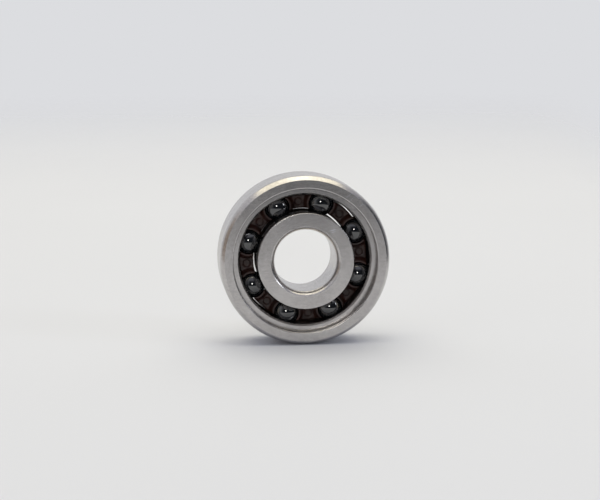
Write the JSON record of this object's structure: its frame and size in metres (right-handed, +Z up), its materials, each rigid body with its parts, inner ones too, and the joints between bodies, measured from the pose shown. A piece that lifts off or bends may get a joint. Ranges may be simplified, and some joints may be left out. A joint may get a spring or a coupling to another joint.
{
  "type": "ball bearing",
  "caption": "Open deep-groove ball bearing with ceramic balls in a moulded snap-in crown cage between two ground steel rings, its inner ring free to turn.",
  "frame": {"origin": "centre of the bearing: on its axis, midway between the two side faces", "axes": "+Y along the bearing's axis, from the front side (the open side of the cage) to the back; +Z up, the bearing standing on its rim"},
  "size_m": [0.022, 0.007, 0.022],
  "materials": {
    "outer_ring_steel": "ground side faces, polished rim and corners",
    "inner_ring_steel": "ground side faces, polished bore and corners",
    "cage_nylon": "moulded, semi-matt dark brown",
    "ball_ceramic": "lapped silicon nitride, black gloss"
  },
  "bodies": {
    "outer_ring": {"outer_ring": "outer_ring_steel"},
    "inner_ring": {"inner_ring": "inner_ring_steel"},
    "cage": {"crown_cage": "cage_nylon"},
    "ball_1": {"ball_1": "ball_ceramic"},
    "ball_2": {"ball_2": "ball_ceramic"},
    "ball_3": {"ball_3": "ball_ceramic"},
    "ball_4": {"ball_4": "ball_ceramic"},
    "ball_5": {"ball_5": "ball_ceramic"},
    "ball_6": {"ball_6": "ball_ceramic"},
    "ball_7": {"ball_7": "ball_ceramic"},
    "ball_8": {"ball_8": "ball_ceramic"}
  },
  "joints": [
    {"name": "inner_ring_spin", "type": "hinge", "parent": "outer_ring", "child": "inner_ring", "pos_m": [0, 0, 0], "axis": [0, 1, 0], "continuous": true},
    {"name": "cage_spin", "type": "hinge", "parent": "outer_ring", "child": "cage", "pos_m": [0, 0, 0], "axis": [0, 1, 0], "continuous": true},
    {"name": "ball_1_spin", "type": "hinge", "parent": "cage", "child": "ball_1", "pos_m": [0.00227, 0, 0.00715], "axis": [0, 1, 0], "continuous": true},
    {"name": "ball_2_spin", "type": "hinge", "parent": "cage", "child": "ball_2", "pos_m": [0.00666, 0, 0.00345], "axis": [0, 1, 0], "continuous": true},
    {"name": "ball_3_spin", "type": "hinge", "parent": "cage", "child": "ball_3", "pos_m": [0.00715, 0, -0.00227], "axis": [0, 1, 0], "continuous": true},
    {"name": "ball_4_spin", "type": "hinge", "parent": "cage", "child": "ball_4", "pos_m": [0.00345, 0, -0.00666], "axis": [0, 1, 0], "continuous": true},
    {"name": "ball_5_spin", "type": "hinge", "parent": "cage", "child": "ball_5", "pos_m": [-0.00227, 0, -0.00715], "axis": [0, 1, 0], "continuous": true},
    {"name": "ball_6_spin", "type": "hinge", "parent": "cage", "child": "ball_6", "pos_m": [-0.00666, 0, -0.00345], "axis": [0, 1, 0], "continuous": true},
    {"name": "ball_7_spin", "type": "hinge", "parent": "cage", "child": "ball_7", "pos_m": [-0.00715, 0, 0.00227], "axis": [0, 1, 0], "continuous": true},
    {"name": "ball_8_spin", "type": "hinge", "parent": "cage", "child": "ball_8", "pos_m": [-0.00345, 0, 0.00666], "axis": [0, 1, 0], "continuous": true}
  ],
  "couplings": [
    {"joint": "cage_spin", "follows": "inner_ring_spin", "ratio": 0.38333},
    {"joint": "ball_1_spin", "follows": "inner_ring_spin", "ratio": -2.0262},
    {"joint": "ball_2_spin", "follows": "inner_ring_spin", "ratio": -2.0262},
    {"joint": "ball_3_spin", "follows": "inner_ring_spin", "ratio": -2.0262},
    {"joint": "ball_4_spin", "follows": "inner_ring_spin", "ratio": -2.0262},
    {"joint": "ball_5_spin", "follows": "inner_ring_spin", "ratio": -2.0262},
    {"joint": "ball_6_spin", "follows": "inner_ring_spin", "ratio": -2.0262},
    {"joint": "ball_7_spin", "follows": "inner_ring_spin", "ratio": -2.0262},
    {"joint": "ball_8_spin", "follows": "inner_ring_spin", "ratio": -2.0262}
  ]
}
